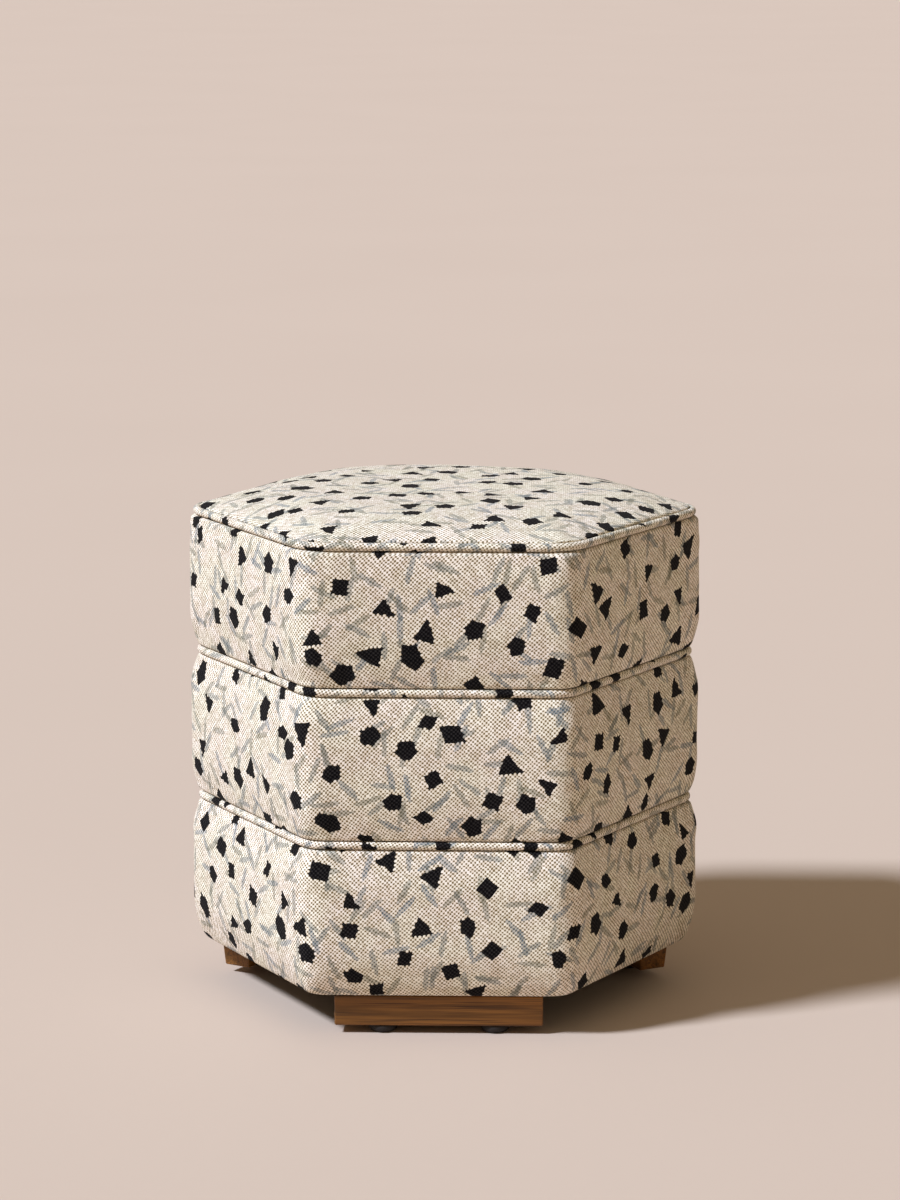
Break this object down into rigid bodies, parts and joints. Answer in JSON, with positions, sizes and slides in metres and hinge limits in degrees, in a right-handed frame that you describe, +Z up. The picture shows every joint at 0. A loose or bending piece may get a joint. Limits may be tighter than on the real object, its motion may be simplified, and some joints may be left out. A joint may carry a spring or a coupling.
{
  "type": "tuffet",
  "caption": "Hexagonal tiered upholstered tuffet with piped seams, a crowned seat and low hardwood foot blocks on glides.",
  "frame": {"origin": "on the floor under the middle of the tuffet", "axes": "+Z up; -Y towards the front, where a flat side and a foot block face; the hexagon's corners point along +X and -X"},
  "size_m": [0.4592, 0.4034, 0.4567],
  "materials": {
    "cover_fabric": "matte",
    "cord": "matte",
    "foam": "matte",
    "wadding": "matte",
    "dust_cloth": "matte",
    "plywood": "matte",
    "hardboard": "matte",
    "stained_hardwood": "satin",
    "zinc_steel": "satin",
    "glide_plastic": "matte"
  },
  "bodies": {
    "root": {"base_board": "plywood", "deck_board": "plywood", "tack_ring_lower": "plywood", "tack_ring_upper": "plywood", "corner_post_right": "plywood", "corner_post_back_right": "plywood", "corner_post_back_left": "plywood", "corner_post_left": "plywood", "corner_post_front_left": "plywood", "corner_post_front_right": "plywood", "side_panel_back_right": "hardboard", "side_panel_back": "hardboard", "side_panel_back_left": "hardboard", "side_panel_front_left": "hardboard", "side_panel_front": "hardboard", "side_panel_front_right": "hardboard", "foam_band_top": "foam", "foam_band_middle": "foam", "foam_band_bottom": "foam", "seat_foam": "foam", "seat_wadding": "wadding", "cover_band_top": "cover_fabric", "cover_band_middle": "cover_fabric", "cover_band_bottom": "cover_fabric", "seat_cover": "cover_fabric", "piping_seat": "cover_fabric", "piping_upper_seam": "cover_fabric", "piping_lower_seam": "cover_fabric", "piping_cord_seat": "cord", "piping_cord_upper_seam": "cord", "piping_cord_lower_seam": "cord", "dust_cover": "dust_cloth", "foot_front": "stained_hardwood", "foot_back_right": "stained_hardwood", "foot_back_left": "stained_hardwood", "foot_bolt_front_left": "zinc_steel", "foot_bolt_front_right": "zinc_steel", "foot_bolt_back_right_left": "zinc_steel", "foot_bolt_back_right_right": "zinc_steel", "foot_bolt_back_left_left": "zinc_steel", "foot_bolt_back_left_right": "zinc_steel", "tee_nut_front_left": "zinc_steel", "tee_nut_front_right": "zinc_steel", "tee_nut_back_right_left": "zinc_steel", "tee_nut_back_right_right": "zinc_steel", "tee_nut_back_left_left": "zinc_steel", "tee_nut_back_left_right": "zinc_steel", "glide_front_left": "glide_plastic", "glide_front_right": "glide_plastic", "glide_back_right_left": "glide_plastic", "glide_back_right_right": "glide_plastic", "glide_back_left_left": "glide_plastic", "glide_back_left_right": "glide_plastic"}
  },
  "joints": []
}
